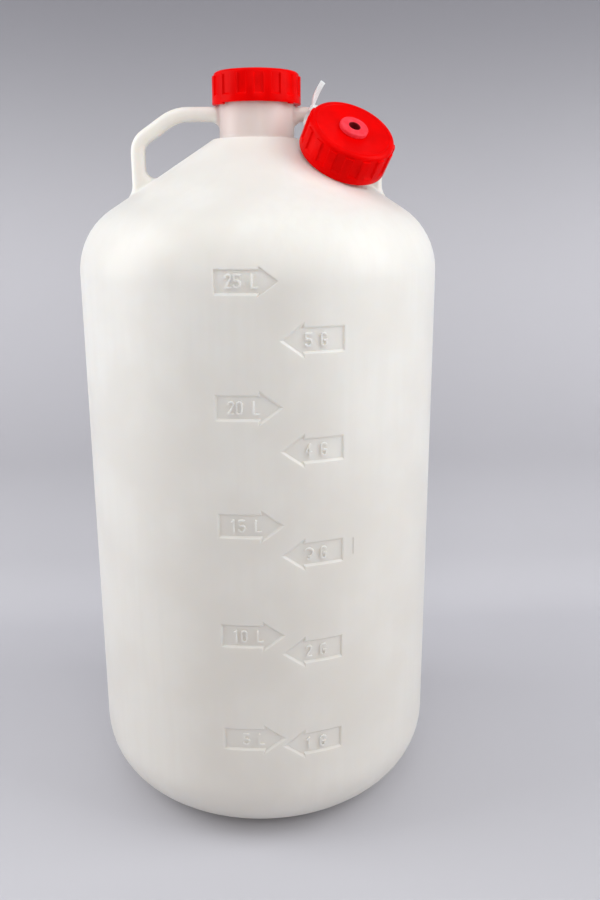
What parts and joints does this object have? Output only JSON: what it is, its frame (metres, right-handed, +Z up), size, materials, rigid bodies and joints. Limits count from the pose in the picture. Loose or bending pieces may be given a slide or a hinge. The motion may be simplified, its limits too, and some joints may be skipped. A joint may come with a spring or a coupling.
{
  "type": "carboy",
  "caption": "Large round blow-moulded plastic carboy with sloping shoulder, two side grips, ribbed screw cap, sunk volume arrows and a spare bored cap tied to one grip",
  "frame": {"origin": "centre of the base, at the lowest point of the carboy", "axes": "+Z up along the bottle's axis, X through the two grips, the graduations on the -Y side"},
  "size_m": [0.28, 0.28, 0.5841],
  "materials": {
    "bottle": "milky natural polyethylene, blow-moulded, soft satin sheen",
    "cap": "injection-moulded polypropylene, saturated red, satin gloss",
    "grommet": "soft moulded silicone, pinkish red",
    "tie": "natural nylon, slightly translucent"
  },
  "bodies": {
    "root": {"carboy": "bottle", "screw_cap": "cap", "spare_cap": "cap", "grommet": "grommet", "cable_tie": "tie"}
  },
  "joints": []
}
